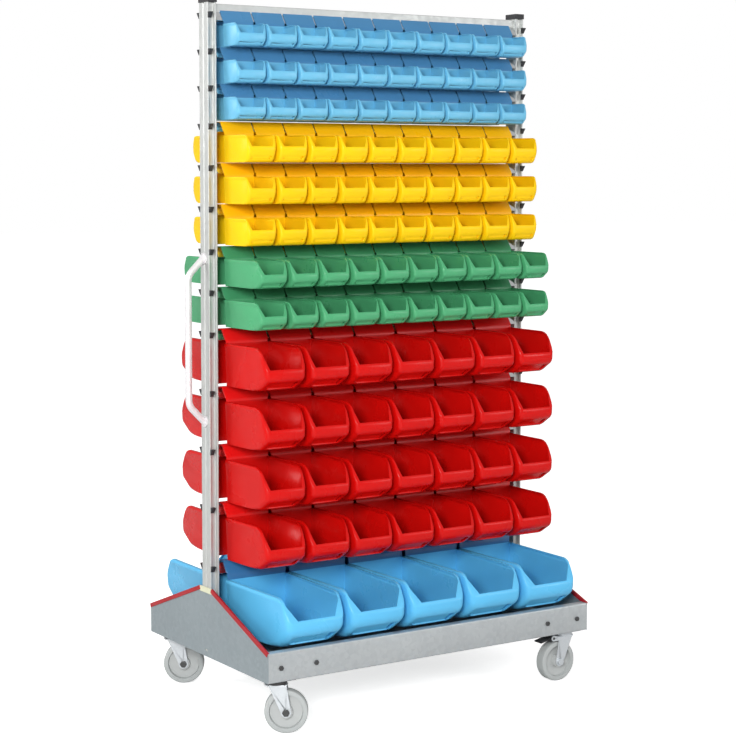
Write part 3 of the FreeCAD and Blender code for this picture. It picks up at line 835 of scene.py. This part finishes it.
rail = fold_rail(first[1])
rails = [copy_of(rail, "rail_at_height", (0, 0, top)) for top in rail_tops]
bpy.data.objects.remove(rail, do_unlink=True)
front_rails = join(rails)
front_rails.name = "front_rails_folded"
rear_rails = copy_of(front_rails, "rear_rails_folded", (0, 0, 0))
turn_half_round(rear_rails, middle_of("front_rails"))
for piece, cad_node in ((front_rails, "front_rails"), (rear_rails, "rear_rails")):
    piece.data.materials.append(finishes["mirror_rail"])
    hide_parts(cad_node)
    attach(piece, "frame")
print("rails", len(rails), "faces", len(front_rails.data.polygons))

# %% [markdown]
# Each caster wheel is a moulded disc with a soft tread, a recessed web and a hub. It could be spun from its
# section, but a disc whose two faces are inset and pushed in or out needs fewer steps, and both sides come
# out alike. Bridging the two hub faces bores the hole for the axle.

# %% Caster wheels
WHEEL = dict(radius=0.0625, width=0.036, tread=0.005, rim=0.0475, draft=0.002, hub=0.019, hub_draft=0.0015,
             hub_half=0.0205, web_half=0.007, bore=0.0061, disc=0.0445, smooth=math.radians(35))
CAP_SIDES = 8  # a face with more sides than this is a cap of the disc
CASTERS = {"front_left": -32.7, "front_right": 180.0, "rear_left": -32.7, "rear_right": 150.0}
finishes["wheel_disc"] = moulded("wheel_disc", srgb(186, 189, 188), 0.5)


def model_wheel(name):
    deselect_all()
    bpy.ops.mesh.primitive_cylinder_add(vertices=48, radius=WHEEL["radius"], depth=WHEEL["width"],
                                        rotation=(math.pi / 2, 0, 0))
    wheel = bpy.context.object
    wheel.name = name
    settle(wheel)
    edit(wheel)
    flat = WHEEL["width"] / 2
    pick("edges", lambda e: all(abs(abs(v.co.y) - flat) < FINE for v in e.verts))
    bpy.ops.mesh.bevel(offset=WHEEL["tread"], segments=3, affect="EDGES")
    web_edge = WHEEL["rim"] - WHEEL["draft"] / 2
    rim_width = WHEEL["radius"] - WHEEL["tread"] - web_edge - WHEEL["draft"]
    hub_foot = WHEEL["hub"] + WHEEL["hub_draft"]
    for side in (-1, 1):
        pick("faces", lambda f: side * f.normal.y > MOSTLY and len(f.verts) > CAP_SIDES)
        bpy.ops.mesh.inset(thickness=rim_width, depth=0)
        bpy.ops.mesh.inset(thickness=WHEEL["draft"], depth=-(flat - WHEEL["web_half"]))
        bpy.ops.mesh.inset(thickness=web_edge - hub_foot, depth=0)
        bpy.ops.mesh.inset(thickness=WHEEL["hub_draft"], depth=WHEEL["hub_half"] - WHEEL["web_half"])
        bpy.ops.mesh.inset(thickness=WHEEL["hub"] - WHEEL["bore"], depth=0)
    pick("faces", lambda f: abs(f.normal.y) > MOSTLY and len(f.verts) > CAP_SIDES)
    bpy.ops.mesh.bridge_edge_loops()
    bpy.ops.mesh.select_all(action="SELECT")
    bpy.ops.mesh.normals_make_consistent(inside=False)
    leave()
    bpy.ops.object.shade_smooth_by_angle(angle=WHEEL["smooth"])
    wheel.data.materials.append(finishes["grey_wheel"])
    wheel.data.materials.append(finishes["wheel_disc"])
    for face in wheel.data.polygons:
        face.material_index = int(math.hypot(face.center.x, face.center.z) < WHEEL["disc"])
    return wheel


for name, heading in CASTERS.items():
    wheel = model_wheel(name + "_wheel_moulded")
    low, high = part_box(name + "_wheel")
    wheel.rotation_euler = (0, 0, math.radians(heading))
    wheel.location = [(a + b) / 2 for a, b in zip(low, high)]
    settle(wheel)
    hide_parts(name + "_wheel")
    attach(wheel, name + "_wheel")
print("wheel faces", len(wheel.data.polygons))

# %% [markdown]
# The long sides of the base are sheets folded to a shallow channel. A flat strip gets its two flanges by
# extruding its long edges, the folds are rounded, and the strip then gets the thickness of the sheet. A real
# press brake works in the same order, and the round folds catch a line of light along the base.

# %% Folded skirts
SHEET = 0.002  # thickness
FOLD = 0.0045  # rounding of the folds


def fold_skirt(name):
    low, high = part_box("front_skirt")
    deselect_all()
    bpy.ops.mesh.primitive_plane_add(size=1, rotation=(math.pi / 2, 0, 0),
                                     location=((low[0] + high[0]) / 2, low[1], (low[2] + high[2]) / 2))
    skirt = bpy.context.object
    skirt.name = name
    skirt.scale = (high[0] - low[0], high[2] - low[2], 1)
    settle(skirt)
    edit(skirt)
    for edge in (low[2], high[2]):
        pick("edges", lambda e: all(abs(v.co.z - edge) < FINE for v in e.verts))
        draw_edges((0, high[1] - low[1], 0))
    pick("edges", lambda e: len(e.link_faces) == 2)
    bpy.ops.mesh.bevel(offset=FOLD, segments=4, affect="EDGES")
    bpy.ops.mesh.select_all(action="SELECT")
    bpy.ops.mesh.normals_make_consistent(inside=False)
    turned = any(face.normal.y > MOSTLY for face in bmesh.from_edit_mesh(skirt.data).faces)
    leave()
    use_modifier(skirt, "SOLIDIFY", thickness=SHEET, offset=1 if turned else -1, use_even_offset=True)
    bpy.ops.object.shade_smooth_by_angle(angle=SMOOTH_ANGLE)
    return skirt


front_skirt = fold_skirt("front_skirt_folded")
rear_skirt = copy_of(front_skirt, "rear_skirt_folded", (0, 0, 0))
turn_half_round(rear_skirt, middle_of("front_skirt"))
for piece, cad_node in ((front_skirt, "front_skirt"), (rear_skirt, "rear_skirt")):
    piece.data.materials.append(finishes["galvanised_steel"])
    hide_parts(cad_node)
    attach(piece, "frame")
print("skirt faces", len(front_skirt.data.polygons))

# %% [markdown]
# Folded and pressed steel has no knife edges. The construction's own meshes stay as they are: a weld and a
# narrow bevel modifier round their edges, so that each edge catches a thin line of light.

# %% Soft edges on the steel
WELD = 0.00001
EDGES = {"left_end_panel": 0.0008, "right_end_panel": 0.0008, "rail_plugs": 0.0006,
         "left_upright": 0.002, "right_upright": 0.002, "upright_caps": 0.002, "top_bar": 0.002,
         "left_edge_trims": 0.001, "right_edge_trims": 0.001, "gable_clips": 0.0008, "skirt_bolts": 0.0008,
         "upright_shoes": 0.001, "handle_flanges": 0.001,
         "front_right_pedal": 0.001, "rear_right_pedal": 0.001}
for name in CASTERS:
    EDGES[name + "_fork"] = 0.001
    EDGES[name + "_caster_plate"] = 0.001
    EDGES[name + "_axle"] = 0.0008
for name, width in EDGES.items():
    piece = frame["nodes"][name]
    weld = piece.modifiers.new("weld", "WELD")
    weld.merge_threshold = WELD
    soft = piece.modifiers.new("soft_edge", "BEVEL")
    soft.width = width
    soft.segments = 2
    soft.limit_method = "ANGLE"
    soft.angle_limit = SMOOTH_ANGLE
print("softened nodes", len(EDGES))
